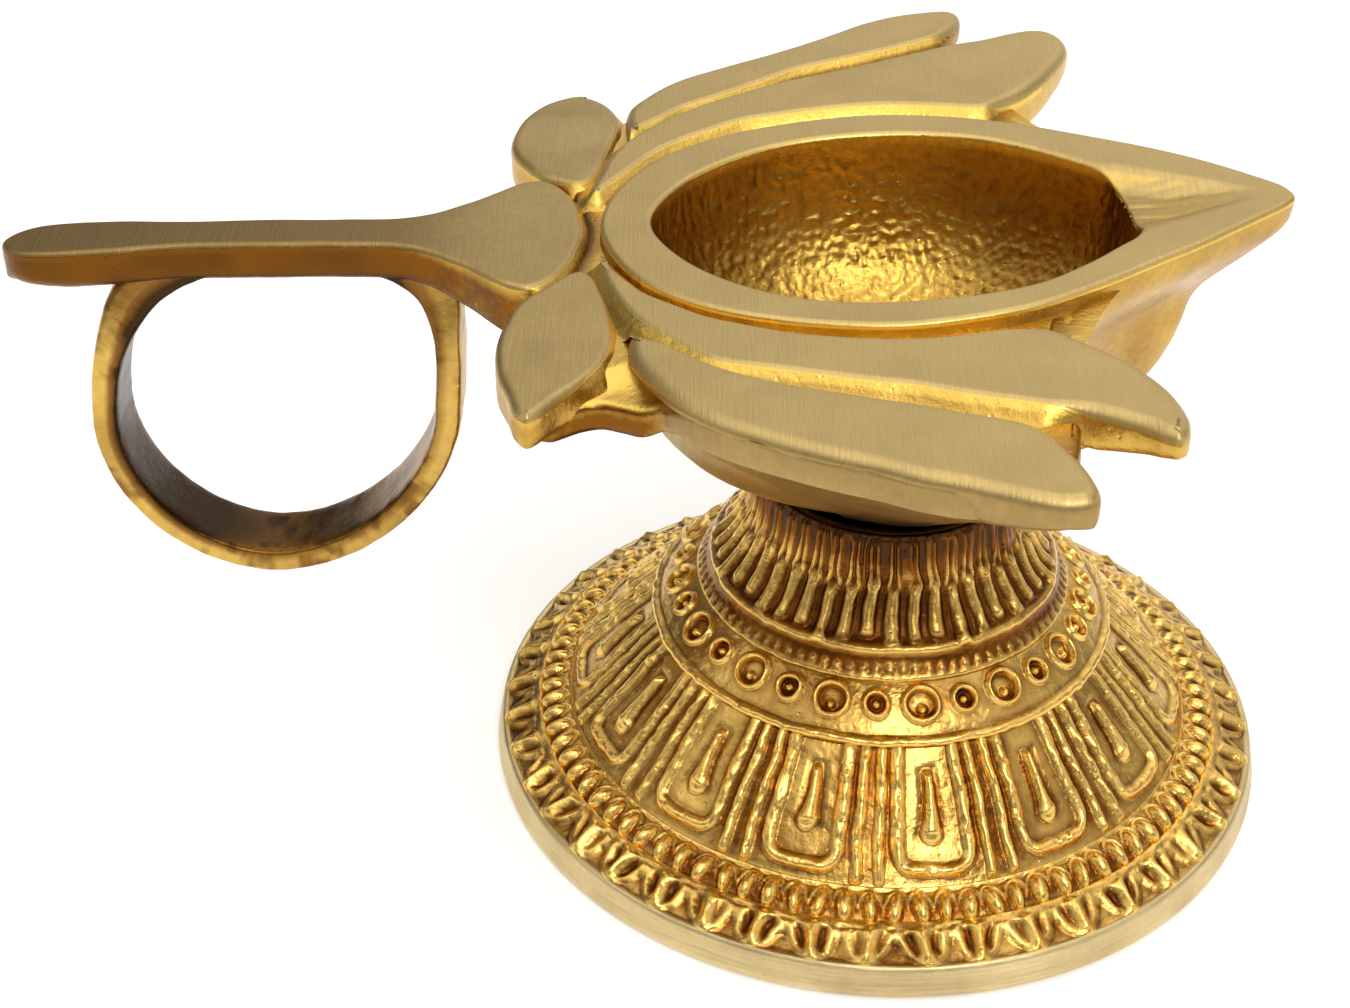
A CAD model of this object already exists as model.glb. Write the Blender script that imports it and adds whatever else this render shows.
# %% [markdown]
# # A brass hand lamp on a chased foot
# The real lamp is two sand castings, held together by a stud. The upper one is a pointed oil bowl
# between raised petals, with a handle and a finger ring. The lower one is a hollow round foot, chased
# all over. The construction is already packed at its true size, so this lesson only gives it its skin:
# the soft edges of a casting, the ornament, and brass that was ground bright on top.

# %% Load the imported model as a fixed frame
import math

import bpy
import numpy as np
from mathutils import Matrix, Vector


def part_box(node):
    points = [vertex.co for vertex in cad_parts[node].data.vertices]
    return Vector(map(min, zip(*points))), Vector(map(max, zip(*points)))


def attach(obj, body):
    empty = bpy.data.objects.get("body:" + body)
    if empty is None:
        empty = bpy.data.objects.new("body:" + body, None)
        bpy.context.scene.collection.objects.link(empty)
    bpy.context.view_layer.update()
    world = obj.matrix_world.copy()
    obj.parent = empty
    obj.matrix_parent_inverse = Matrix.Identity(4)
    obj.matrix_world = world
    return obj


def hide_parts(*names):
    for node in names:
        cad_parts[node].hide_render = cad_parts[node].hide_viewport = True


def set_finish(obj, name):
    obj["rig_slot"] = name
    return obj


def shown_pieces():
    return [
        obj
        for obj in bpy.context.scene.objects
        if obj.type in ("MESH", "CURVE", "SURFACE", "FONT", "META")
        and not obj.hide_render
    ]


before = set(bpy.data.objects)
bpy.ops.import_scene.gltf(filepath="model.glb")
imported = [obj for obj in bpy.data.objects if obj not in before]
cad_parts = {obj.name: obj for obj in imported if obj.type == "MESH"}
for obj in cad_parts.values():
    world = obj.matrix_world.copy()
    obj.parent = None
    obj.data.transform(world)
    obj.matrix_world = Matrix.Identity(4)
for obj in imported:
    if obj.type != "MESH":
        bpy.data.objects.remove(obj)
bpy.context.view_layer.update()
print("nodes of the frame:", sorted(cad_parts))

# %% [markdown]
# ## Driving sizes
# Shapes are worked out in millimetres, in the lamp's own frame: +X towards the spout, +Z up, and the
# axis of the foot at x = 0. The frame gives the places that both castings share, so the skin still
# fits if the construction is changed.

# %% Sizes taken from the frame
MM = 0.001
foot_low, foot_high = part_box("foot")
lamp_low, lamp_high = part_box("lamp")
AXIS_X = (foot_low.x + foot_high.x) / 2 / MM
FOOT_RADIUS = (foot_high.x - foot_low.x) / 2 / MM
FOOT_TOP = foot_high.z / MM
SEAT = FOOT_TOP + 0.3           # the dark joint between the castings
TAIL_REACH = AXIS_X - lamp_low.x / MM
print(f"foot {2 * FOOT_RADIUS:.1f} mm across, lamp {(lamp_high.x - lamp_low.x) / MM:.1f} mm long")

# %% Sizes of the lamp's head
RIM_HEIGHT = SEAT + 22.6        # of the rim's plane, over the foot's axis
RIM_RISE = math.radians(2.75)   # the plane climbs towards the spout
SPOUT_REACH = 29.4
BOWL_REAR = 23.3
BOWL_HALF = 17.7
RIM_WIDTH = 3.9
BOWL_DEPTH = 15.4
GROOVE_DEPTH = 1.3
HANDLE_TOP = RIM_HEIGHT - BOWL_REAR * math.sin(RIM_RISE) - 0.8

# %% [markdown]
# ## Tools for surfaces
# Every new piece is a grid of points: its columns run round the piece and close on themselves, and its
# rows run along a profile. A row that shrinks to one point makes a pole, and points that fall together
# are welded, so that each skin is closed. Writing whole arrays keeps the script short and fast.

# %% Smooth curves and outlines
def smooth_curve(points, count, closed=False, steps=32):
    """A centripetal Catmull-Rom curve: between two points it blends the four nearest ones, with knots
    spaced by the square root of their distances. It comes back as points at even distances along it."""
    p = np.asarray(points, float)
    if closed:
        p = np.concatenate([p[-1:], p, p[:2]])
    else:
        p = np.concatenate([2 * p[:1] - p[1:2], p, 2 * p[-1:] - p[-2:-1]])
    knot = np.concatenate([[0], np.cumsum(np.sqrt(np.linalg.norm(np.diff(p, axis=0), axis=1)))])
    i = np.arange(1, len(p) - 2)
    t = knot[i][:, None] + np.linspace(0, 1, steps, endpoint=False) * (knot[i + 1] - knot[i])[:, None]

    def mix(a, b, first, last):
        """a at the first knot, b at the last one, and a straight blend between them."""
        share = ((t - first[:, None]) / (last - first)[:, None])[..., None]
        return a * (1 - share) + b * share

    a, b, c, d = (p[i + k][:, None] for k in (-1, 0, 1, 2))
    ab, bc, cd = (mix(x, y, knot[i + k], knot[i + k + 1]) for x, y, k in ((a, b, -1), (b, c, 0), (c, d, 1)))
    early, late = mix(ab, bc, knot[i - 1], knot[i + 1]), mix(bc, cd, knot[i], knot[i + 2])
    curve = mix(early, late, knot[i], knot[i + 1])
    curve = np.concatenate([curve.reshape(-1, p.shape[1]), p[-2:-1]])
    length = np.concatenate([[0], np.cumsum(np.linalg.norm(np.diff(curve, axis=0), axis=1))])
    even = np.linspace(0, length[-1], count, endpoint=not closed)
    return np.stack([np.interp(even, length, curve[:, k]) for k in range(p.shape[1])], axis=1)


def unit(vectors):
    """The same vectors at length 1."""
    return vectors / np.maximum(np.linalg.norm(vectors, axis=-1, keepdims=True), 1e-9)


def outward(outline):
    """Unit normals in plan of a closed outline: the tangent through both neighbours, turned outwards."""
    along = np.roll(outline, -1, axis=0) - np.roll(outline, 1, axis=0)
    area = np.sum(outline[:, 0] * np.roll(outline[:, 1], -1) - outline[:, 1] * np.roll(outline[:, 0], -1))
    return unit(np.stack([along[:, 1], -along[:, 0]], axis=1)) * np.sign(area)


def quarter_turn(rows, end=1.0):
    """Angles up to a share of a quarter turn, one for each row of a rounded edge."""
    return np.linspace(0, end, rows)[:, None, None] * math.pi / 2


def stack(plan, height):
    """Plan points and a height, as points in space."""
    x, y = np.moveaxis(plan, -1, 0)
    return np.stack(np.broadcast_arrays(x, y, height), axis=-1)


def risen(grid):
    """Turns points drawn under a level rim to the rim's rise, and lifts them to its height."""
    x, y, z = np.moveaxis(grid, -1, 0)
    c, s = math.cos(RIM_RISE), math.sin(RIM_RISE)
    return np.stack([x * c - z * s, y, x * s + z * c + RIM_HEIGHT], axis=-1)


def ease(value, low, high):
    """0 below low, 1 above high, and 3t^2 - 2t^3 between them."""
    t = np.clip((value - low) / (high - low), 0, 1)
    return t * t * (3 - 2 * t)


# %% Soft noise, for what a sand mould and a hand tool leave
def noise(points, size, seed=0):
    """Values from -1 to 1: a number hashed for each corner of a lattice of cells of that size, blended
    between the eight corners round each point."""
    cells = np.asarray(points, float) / size
    low = np.floor(cells).astype(np.int64)
    share = cells - low
    share = share * share * (3 - 2 * share)
    total = np.zeros(cells.shape[:-1])
    for corner in np.ndindex(2, 2, 2):
        x, y, z = np.moveaxis(low + corner, -1, 0)
        key = (x * 73856093) ^ (y * 19349663) ^ (z * 83492791) ^ (seed * 2654435761)
        key = ((key ^ (key >> 13)) * 1274126177) & 0xFFFFFFFF
        weight = np.prod(np.where(np.array(corner) == 1, share, 1 - share), axis=-1)
        total += weight * ((key >> 8 & 0xFFFF) / 32767.5 - 1)
    return total


def rough(points, size, seed=0):
    """Three octaves of the soft noise, each half as large and half as strong as the one before."""
    return sum(noise(points, size / 2 ** k, seed + k) / 2 ** k for k in range(3)) / 1.75


def normals(grid):
    """Unit normals of a grid of points, from the cross product of its two directions."""
    along = np.gradient(grid, axis=0)
    across = np.roll(grid, -1, axis=1) - np.roll(grid, 1, axis=1)
    return unit(np.cross(across, along))


# %% Turn a grid into a closed piece
def new_piece(name, grid, slot, values=None, closed_rows=False, stands_for=()):
    """Makes a mesh from a (rows, columns, 3) grid in millimetres. Columns always close. Points that fall
    together are welded, faces turned outwards by the sign of the volume, and values kept per vertex."""
    rows, columns = grid.shape[:2]
    points = grid.reshape(-1, 3)
    index = np.arange(rows * columns).reshape(rows, columns)
    if closed_rows:
        index = np.concatenate([index, index[:1]])
    beside = np.roll(index, -1, axis=1)
    quads = np.stack([index[:-1], beside[:-1], beside[1:], index[1:]], axis=-1).reshape(-1, 4)
    _, first, welded = np.unique(np.round(points / 2e-4).astype(np.int64), axis=0,
                                 return_index=True, return_inverse=True)
    points = points[first]
    quads = welded.reshape(-1)[quads]
    repeated = quads == np.roll(quads, -1, axis=1)
    folded = (quads[:, 0] == quads[:, 2]) | (quads[:, 1] == quads[:, 3])
    whole = quads[(repeated.sum(axis=1) == 0) & ~folded]
    thin = (repeated.sum(axis=1) == 1) & ~folded
    triangles = quads[thin][~repeated[thin]].reshape(-1, 3)
    corners = np.concatenate([whole[:, :3], whole[:, [0, 2, 3]], triangles])
    a, b, c = (points[corners[:, k]] for k in range(3))
    if np.sum(a * np.cross(b, c)) < 0:
        whole, triangles = whole[:, ::-1], triangles[:, ::-1]
    mesh = bpy.data.meshes.new(name)
    mesh.from_pydata(((points + [AXIS_X, 0, 0]) * MM).tolist(), [], whole.tolist() + triangles.tolist())
    mesh.polygons.foreach_set("use_smooth", np.ones(len(mesh.polygons), bool))
    for key, value in (values or {}).items():
        attribute = mesh.attributes.new(key, "FLOAT", "POINT")
        attribute.data.foreach_set("value", value.reshape(-1)[first].astype(np.float32))
    piece = bpy.data.objects.new(name, mesh)
    bpy.context.scene.collection.objects.link(piece)
    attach(piece, "root")
    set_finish(piece, slot)
    if stands_for:
        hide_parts(*stands_for)
    print(f"{name}: {len(corners)} triangles, {np.ptp(points, axis=0).round(1)} mm")
    return piece

# %% [markdown]
# ## The oil bowl
# The bowl is one surface: it starts at the middle of the floor inside, climbs the wall, turns over the
# rim and goes down outside to the seat. In plan both outlines are teardrops. Inside, the wall follows a
# superellipse, steep at the rim and round at the bottom. Outside, each level keeps less of the spout than
# of the round part, and that leaves the keel under the spout. A subdivided cage would do, but it
# would lose the even width of the rim.

# %% The bowl's outlines and its outer wall
AROUND = 560
bowl_outline = smooth_curve([
    (-BOWL_REAR, 0), (-20.3, -9.2), (-14, -14.7), (-3, -BOWL_HALF), (4, -16.9), (8.1, -15.6), (11.1, -14),
    (14.3, -12), (17.5, -9.8), (20.8, -7.6), (24.2, -5), (26.9, -2.9), (28.6, -1.5), (SPOUT_REACH, -0.3),
    (28.9, 1.5), (27.4, 3.2), (24.5, 6), (20.9, 8.8), (15.1, 12.3), (9.9, 15.05), (4, 17.05),
    (-3, BOWL_HALF), (-14, 14.7), (-20.3, 9.2)], AROUND, closed=True)
opening_outline = smooth_curve([
    (-BOWL_REAR + RIM_WIDTH, 0), (-16.9, -6.5), (-12, -11.4), (-7, -13.7), (-2, -14.3), (4, -13.7),
    (8.5, -12.3), (11.6, -10.2), (13.3, -8.8), (15, -7.2), (16.4, -5.9), (17, -4.7), (17.1, -2.6),
    (17, 0.4), (16.8, 2.6), (16.4, 4.4), (15.5, 5.9), (13.2, 8.1), (10, 10.6), (7, 12.3), (3, 13.5),
    (-2, 13.9), (-7, 13.2), (-12, 11.04), (-16.9, 6.35)], AROUND, closed=True)
SEAT_RADIUS = 9.5
KEEL = np.array([
    # depth, length kept in front, size kept elsewhere, share of the seat's circle
    (0.5, 1, 1, 0), (2.3, 0.985, 0.995, 0), (4.1, 0.92, 0.99, 0), (6.0, 0.835, 0.98, 0),
    (7.2, 0.785, 0.975, 0), (8.6, 0.755, 0.965, 0), (10.8, 0.735, 0.95, 0), (13.4, 0.70, 0.925, 0),
    (16.5, 0.64, 0.875, 0.03), (19.2, 0.56, 0.775, 0.12), (21.2, 0.52, 0.67, 0.45),
    (22.4, 0.5, 0.6, 0.85), (23.6, 0.5, 0.6, 1)])


def bowl_wall(depth, inset=1.0):
    """The bowl's outside at some depths: its outline shrinks as the keel table says, blends into the
    seat's circle, and narrows where the spout's keel draws back."""
    levels = smooth_curve(KEEL, 200)
    front, rest, circle = (np.interp(depth, levels[:, 0], levels[:, k])[:, None] for k in (1, 2, 3))
    x, y = bowl_outline.T
    narrow = 1 + (front ** 1.4 - 1) * ease(x, 9, 24)
    plan = np.stack([x * np.where(x > 0, front, rest), y * rest * narrow], axis=-1)
    circle = circle[..., None]
    return (plan * (1 - circle) + unit(bowl_outline) * SEAT_RADIUS * circle) * inset


# %% The wick rest: a trough from the opening's front edge to the tip
def wick_rest(grid):
    """1 in the trough and 0 beside it. It starts inside the opening and narrows towards the tip."""
    x, y = grid[..., 0], grid[..., 1]
    reach = (y - 0.9 + 0.02 * x) / np.clip(0.52 * (28.2 - x), 0.3, 6)
    return (1 - ease(np.abs(reach), 0.35, 1.05)) * ease(x, 13.5, 17.5) * (1 - ease(x, 19, 27.5))


# %% The bowl, from the floor inside to the seat
RIM_EDGE = 0.4                  # radius of the rim's soft edges
RIM_EDGE_ROWS = 6
BOWL_CENTRE = np.array([-1.0, 0.0])
BOWL_ROUND = 0.77               # power of the superellipse, lower for a steeper wall


def bowl_rows():
    """The rows inside, over the inner edge, across the rim, over the outer edge and down outside."""
    inner_normal, outer_normal = outward(opening_outline), outward(bowl_outline)
    turn = quarter_turn(100, 0.985)
    inside = stack(BOWL_CENTRE + (opening_outline - BOWL_CENTRE) * np.sin(turn) ** BOWL_ROUND,
                   -RIM_EDGE - (BOWL_DEPTH - RIM_EDGE) * np.cos(turn[..., 0]) ** BOWL_ROUND)
    turn = quarter_turn(RIM_EDGE_ROWS)
    lip = stack(opening_outline + inner_normal * RIM_EDGE * (1 - np.cos(turn)),
                -RIM_EDGE * (1 - np.sin(turn[..., 0])))
    share = np.linspace(0, 1, 22)[1:-1, None, None]
    top = stack((opening_outline + inner_normal * RIM_EDGE) * (1 - share)
                + (bowl_outline - outer_normal * RIM_EDGE) * share, 0)
    corner = stack(bowl_outline - outer_normal * RIM_EDGE * (1 - np.sin(turn)),
                   -RIM_EDGE * (1 - np.cos(turn[..., 0])))
    depth = np.linspace(0.55, RIM_HEIGHT - SEAT + 1, 36)
    wall = stack(bowl_wall(depth), -depth[:, None])
    floor_flare = 0.5 * np.exp(-((depth[:, None] - 1.9) / 0.55) ** 2) * ease(-bowl_outline[:, 0], -13, -10)
    wall[..., :2] += outer_normal * floor_flare[..., None]
    return inside, lip, top, corner, wall


def bowl():
    """The rows of one closed skin, with the trough sunk in the rim and the sand mould's wrinkles inside."""
    inside, lip, top, corner, wall = bowl_rows()
    grid = np.concatenate([inside, lip, top, corner, wall, wall[-1:] * [0, 0, 1]])
    ground = np.concatenate([np.zeros(len(inside)), np.linspace(0.2, 1, RIM_EDGE_ROWS), np.ones(len(top)),
                             np.linspace(1, 0.3, RIM_EDGE_ROWS), np.zeros(len(wall) + 1)])
    ground = np.broadcast_to(ground[:, None], grid.shape[:2]).copy()
    rows = np.arange(len(grid))[:, None]
    is_inside, is_outside = rows < len(inside), rows >= len(grid) - len(wall) - 1
    is_top = ~is_inside & ~is_outside

    dish = wick_rest(grid) * is_top
    streaks = noise(grid * [0.5, 2.2, 0], 1.0, 29)
    grid[..., 2] -= dish * (1.2 + 0.1 * streaks)
    ground *= 1 - ease(dish, 0.02, 0.3) * (0.35 + 0.25 * streaks)

    wrinkle = 1 - 2.4 * np.abs(rough(grid * [1, 1, 1.4], 0.75, 3))
    patch = 0.75 + 0.25 * noise(grid, 5.0, 17)
    strength = is_inside * 0.16 * patch * ease(-grid[..., 2], 0.2, 2.5) + is_outside * 0.02
    grid = grid + normals(grid) * (wrinkle * strength)[..., None]
    x, y = grid[..., 0], grid[..., 1]
    front, far, behind = ease(x, 0, 12), ease(y, -3, 7), ease(-x, 8, 15)
    shade = 0.62 + 0.1 * front + 0.13 * front * far + 0.15 * behind + 0.12 * noise(grid, 5.0, 19)
    hollow = np.where(is_inside, shade - 0.08 * wrinkle, 0.62 + 0.12 * noise(grid, 3.0, 18))
    hollow = np.where(is_top, 0.15 + 0.3 * dish, hollow)
    ground = np.where(rows > len(grid) - len(wall), 0.7 * ease(-x, -4, 6), ground)
    grid = risen(grid)
    grid[..., 2] = np.maximum(grid[..., 2], SEAT)
    return new_piece("bowl", grid, "brushed_brass", {"ground": ground, "hollow": hollow},
                     stands_for=["lamp"])


bowl()

# %% [markdown]
# ## Petals, lobes and handle
# These are plates with a flat ground top and cast walls. Each is drawn by its two edges in plan, from its
# rear tip to its front tip. A section runs from one edge to the other: a soft shoulder and then a slope
# down to the floor of a groove, or a rounded corner, a wall and a round lower corner where the wall
# stands free. A bevelled extrusion would give one kind of corner only, so the section is worked out.

# %% The section of a raised plate
SIDE_ROWS = 15
TOP_ROWS = 28


def side_profile(depth, width, free, shoulder):
    """Offsets and depths down one wall. free is 1 where the wall stands free to its full depth and 0
    where it slopes down to a groove's floor, and values between the two blend them."""
    turn = np.linspace(0, math.pi / 2, 6)
    soft = turn * 0.52
    sunk_off = np.concatenate([-0.4 + 0.62 * np.sin(soft),
                               [0.35, 0.62, 0.82, 0.98, 1.1, 1.22, 1.36, 1.5, 1.7]])
    sunk_down = np.concatenate([0.62 * (1 - np.cos(soft)), [0.43, 0.72],
                                GROOVE_DEPTH + np.array([-0.37, -0.21, -0.11, -0.05, -0.01, 0.05, 0.9])])
    edge_off, edge_down = shoulder * (np.sin(turn) - 1), shoulder * (1 - np.cos(turn))
    lower = np.clip(0.42 * width, 0.06, np.minimum(1.2, 0.42 * depth))[:, None]
    free_off = np.concatenate([np.tile(np.concatenate([edge_off, [0.02, 0]]), (len(depth), 1)),
                               -lower * (1 - np.cos(turn)), -1.1 * lower], axis=1)
    depth = depth[:, None]
    high = np.maximum(depth - lower, shoulder + 0.1)
    free_down = np.concatenate([np.tile(edge_down, (len(depth), 1)),
                                shoulder + (high - shoulder) * [0.3, 0.7],
                                high + (depth - high) * np.sin(turn), depth], axis=1)
    free = free[:, None]
    return sunk_off * (1 - free) + free_off * free, sunk_down * (1 - free) + free_down * free


def plate(inner, outer, depth, free_inner, free_outer, top=0.0, seed=1, wall=0.0, shoulder=0.65):
    """The grid of a raised plate from its two edges, which share their first and last points.
    Rows are stations along it, and columns run up one wall, over the top, down the other and back.
    wall is how far the outer wall is ground, and such a wall leans in behind the hull's surface."""
    outline = np.concatenate([inner, outer[-2:0:-1]])
    wobble = 0.02 if wall else 0.07
    outline = outline + outward(outline) * (wobble * noise(stack(outline, 0), 3.0, seed))[:, None]
    normal = outward(outline)
    count = len(inner)
    back = np.concatenate([[0], np.arange(len(outline) - 1, count - 2, -1)])
    sides = []
    for index, free in ((np.arange(count), free_inner), (back, free_outer)):
        off, down = side_profile(depth, np.linalg.norm(inner - outer, axis=1), free, shoulder)
        if wall and free is free_outer:
            off[:, 6:] -= (1 - ease(outer[:, :1], -2, 2)) * np.clip(np.arange(9) * 0.5 + 0.3, 0, 1.1)
        sides.append(stack(outline[index][:, None] + normal[index][:, None] * off[..., None], -down))
    left, right = sides[0][:, ::-1], sides[1]
    share = np.linspace(0, 1, TOP_ROWS + 2)[None, 1:-1, None]
    over = left[:, -1:] * (1 - share) + right[:, :1] * share
    share = np.linspace(0, 1, 8)[None, 1:-1, None]
    under = right[:, -1:] * (1 - share) + left[:, :1] * share
    under[..., 2] = np.minimum(under[..., 2], -depth[:, None])
    grid = np.concatenate([left, over, right, under], axis=1)
    fade = np.array([1, 1, 1, 1, 0.8, 0.3, 0])
    top_end = SIDE_ROWS + TOP_ROWS
    ground = np.zeros(grid.shape[:2])
    ground[:, SIDE_ROWS - 7:SIDE_ROWS] = fade[::-1]
    ground[:, SIDE_ROWS:top_end] = 1
    ground[:, top_end:] = wall
    ground[:, top_end:top_end + 7] = np.maximum(fade, wall)
    skin = rough(grid, 2.2, seed + 5) * 0.05 * (1 - ground)
    grid = grid + normals(grid) * skin[..., None]
    grid[..., 2] += np.broadcast_to(top, (count,))[:, None]
    return grid, ground


def below_top(grid, drop):
    """True for the points of a plate that lie more than drop under the middle of its top."""
    return grid[..., 2] < grid[:, SIDE_ROWS + TOP_ROWS // 2, 2][:, None] - drop


def edges(inner, outer, count=360):
    """One smooth closed outline through the points of both edges, cut in two again at the tips that they
    share, with stations closer together there."""
    inner, outer = np.asarray(inner, float), np.asarray(outer, float)
    curve = smooth_curve(np.concatenate([inner, outer[-2:0:-1]]), 3000, closed=True)
    curve = np.roll(curve, -np.argmin(np.linalg.norm(curve - inner[0], axis=1)), axis=0)
    front = np.argmin(np.linalg.norm(curve - inner[-1], axis=1))
    shared = (1 - np.cos(np.linspace(0, math.pi, count))) / 2
    halves = (curve[:front + 1], np.concatenate([curve[:1], curve[:front - 1:-1]]))
    return [np.stack([np.interp(shared * (len(h) - 1), np.arange(len(h)), h[:, k]) for k in (0, 1)], axis=1)
            for h in halves]


# %% The four petals and the two lobes
LEFT_INNER_PETAL = (
    [(-23.8, 5.6), (-22.4, 7.4), (-21, 9.6), (-18.8, 12.9), (-15.5, 15.6), (-12.1, 17.9), (-8.8, 18.8),
     (-5.4, 19.5), (-2, 19.9), (1.3, 19.8), (4.6, 19.2), (7.6, 18.6), (9.2, 19.2), (11, 20.6), (13.2, 23.2),
     (15, 26.2), (16.2, 28.6), (16.8, 30.8), (16.5, 33)],
    [(-23.8, 5.6), (-23.5, 8), (-22.8, 11.1), (-21.4, 14.6), (-18.8, 18), (-15.4, 21.1), (-12, 23.4),
     (-8.5, 25.3), (-5.1, 26.6), (-1.5, 28.2), (2.1, 29.8), (5.8, 31.5), (9.5, 33.2), (12, 34.4), (14, 34.9),
     (15.5, 34.5), (16.5, 33)])
RIGHT_INNER_PETAL = (
    [(-22.9, 6.4), (-22.2, 7.8), (-21.2, 9.5), (-20.1, 11.2), (-18.4, 12.8), (-15.8, 15), (-13, 16.6),
     (-10.3, 17.8), (-6.2, 19), (-2.1, 19.6), (2, 19.4), (6.2, 18.9), (8.8, 19.5), (11.2, 21.6),
     (13.2, 24.1), (14.6, 26.5), (15.4, 29), (15.6, 31.2), (15.1, 32.9)],
    [(-22.9, 6.4), (-22.7, 8.4), (-22.2, 10.2), (-21.5, 12.4), (-20.4, 14.9), (-18.8, 17.2), (-16, 20.3),
     (-14.6, 21.5), (-11.8, 22.5), (-9.1, 23.4), (-6.5, 24.3), (-3.9, 25.1), (-1.3, 25.8), (1.3, 26.9),
     (3.8, 27.8), (6.3, 28.6), (8.7, 29.5), (11.1, 30.8), (12.4, 31.7), (13.6, 32.9), (14.5, 33.4),
     (15.1, 32.9)])
LEFT_OUTER_PETAL = (
    [(-21.2, 16.4), (-20.2, 17.6), (-18.6, 19.2), (-16.8, 21.1), (-14.8, 22.5), (-12.4, 24.2), (-9.8, 26.1),
     (-7.2, 28), (-4.6, 29.3), (-1.6, 30.5), (1, 31.7), (3.6, 33), (5.6, 34.2), (7.2, 35.6), (8.1, 37.6),
     (8.3, 39.2), (7.8, 40)],
    [(-21.2, 16.4), (-21.7, 18.6), (-21.5, 21.4), (-20.4, 23.4), (-18.8, 25.6), (-16.8, 27.5), (-13.6, 29.5),
     (-10, 31.6), (-6.4, 33.9), (-3.6, 36), (-0.7, 38.2), (1.4, 39.3), (3.6, 40), (5.8, 40.35), (7, 40.35),
     (7.8, 40)])
RIGHT_OUTER_PETAL = (
    [(-20.7, 17.6), (-20.1, 18), (-18.6, 18.8), (-17.2, 20.2), (-14.5, 22.6), (-11.9, 24.2), (-9.3, 25.4),
     (-6.7, 26.4), (-4.1, 27.4), (-1.6, 28.3), (0.9, 29.4), (3.4, 30.4), (4.6, 31), (5.8, 31.9), (6.8, 33.2),
     (7.8, 35.3), (8.4, 37.6), (8.5, 39.2), (8, 40.1)],
    [(-20.7, 17.6), (-20.8, 20), (-20, 22.4), (-18.9, 24.5), (-17.3, 27), (-14.7, 29.7), (-12.1, 31.5),
     (-9.6, 33), (-7.2, 34.3), (-4.7, 35.5), (-2.4, 36.8), (0, 37.8), (2.3, 38.9), (4.4, 39.9), (6, 40.4),
     (7.2, 40.4), (8, 40.1)])
LEFT_LOBE = (
    [(-25, 8.6), (-24.3, 9.3), (-23.7, 11.5), (-23, 15.4), (-22.4, 19), (-22.6, 22), (-23.6, 24.3),
     (-25.2, 25.6)],
    [(-25, 8.6), (-26.2, 8.8), (-28, 9.8), (-29.9, 12.3), (-31, 15.2), (-30.9, 18.6), (-29.9, 22),
     (-28.5, 24.3), (-26.9, 25.5), (-25.2, 25.6)])
RIGHT_LOBE = (
    [(-24.7, 6.5), (-23.8, 7.2), (-23, 9.5), (-22.4, 12.5), (-22.1, 16.3), (-22.6, 19.6), (-23.9, 22.3),
     (-25.5, 24.7), (-26.7, 26.6), (-27.5, 27.1)],
    [(-24.7, 6.5), (-26, 7.5), (-27.8, 9.4), (-29.1, 11.7), (-29.8, 14.4), (-30.1, 17.4), (-29.8, 20.9),
     (-29, 23.9), (-28.3, 26.3), (-27.5, 27.1)])


def petal(name, pair, side, thick, tip, free_inner, free_outer, seed, level=0.0, wall=0.0):
    """A plate on one side of the lamp, thick up to 0.6 of its length and then thinner towards its tip.
    Lobes lie level at the handle's height, and petals rise with the rim."""
    inner, outer = (edge * [1, side] for edge in edges(*pair))
    depth = thick + (tip - thick) * ease(np.linspace(0, 1, len(inner)), 0.6, 1)
    grid, ground = plate(inner, outer, depth, free_inner(inner), free_outer(outer), level, seed=seed,
                         wall=wall, shoulder=0.65 if level else 0.95)
    if not level:
        grid = risen(grid)
    stain = 0.15 * ease(noise(grid, 4.5, seed), 0.1, 0.6)
    hollow = np.where(below_top(grid, 0.55 if wall else 0.8), 0.6 if level else 0.76 if wall else 0.48,
                      (0.42 if level else 0.12) + stain)
    return new_piece(name, grid, "brushed_brass", {"ground": ground, "hollow": hollow})


def near_tip(edge):
    """1 close to an edge's last point, and 0 from 4 mm away."""
    return ease(-np.linalg.norm(edge - edge[-1], axis=1), -4, -1.5)


for side, word, inner_petal, outer_petal, lobe in (
        (1, "left", LEFT_INNER_PETAL, LEFT_OUTER_PETAL, LEFT_LOBE),
        (-1, "right", RIGHT_INNER_PETAL, RIGHT_OUTER_PETAL, RIGHT_LOBE)):
    petal(f"inner_petal_{word}", inner_petal, side, 4.6, 1.9, lambda e: ease(e[:, 0], 8.0, 10.5),
          lambda e: ease(e[:, 0], 6.5, 10), 11 + side)
    petal(f"outer_petal_{word}", outer_petal, side, 3.6, 2.3, lambda e: ease(e[:, 0], 5.2, 7.6),
          lambda e: ease(e[:, 0], -30, -29), 21 + side, wall=0.7)
    petal(f"lobe_{word}", lobe, side, 3.8, 2.6,
          lambda e: np.maximum(ease(np.abs(e[:, 1]), 20.8, 25), near_tip(e)),
          lambda e: ease(-e[:, 0], 25.5, 27.5), 31 + side, level=HANDLE_TOP)

# %% The handle: a fan in front, then a bar with a rounded tail
FAN_EDGE = 28.3
FAN_ROOT = 39.0
FAN_DEPTH = 5
BAR_DEPTH = 3.4
HANDLE_EDGE = [(24.8, 0), (25, 2.6), (25.8, 5.8), (27, 8.1), (28.3, 8.95), (29.8, 8.5), (31.6, 7),
               (33.7, 5.1), (36.3, 3.2), (39, 2.3), (43, 2.15), (49, 2.15), (55, 2.15), (60, 2.5),
               (64, 2.7), (67, 2.35), (68.6, 1.3), (TAIL_REACH - 0.1, 0)]


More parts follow.
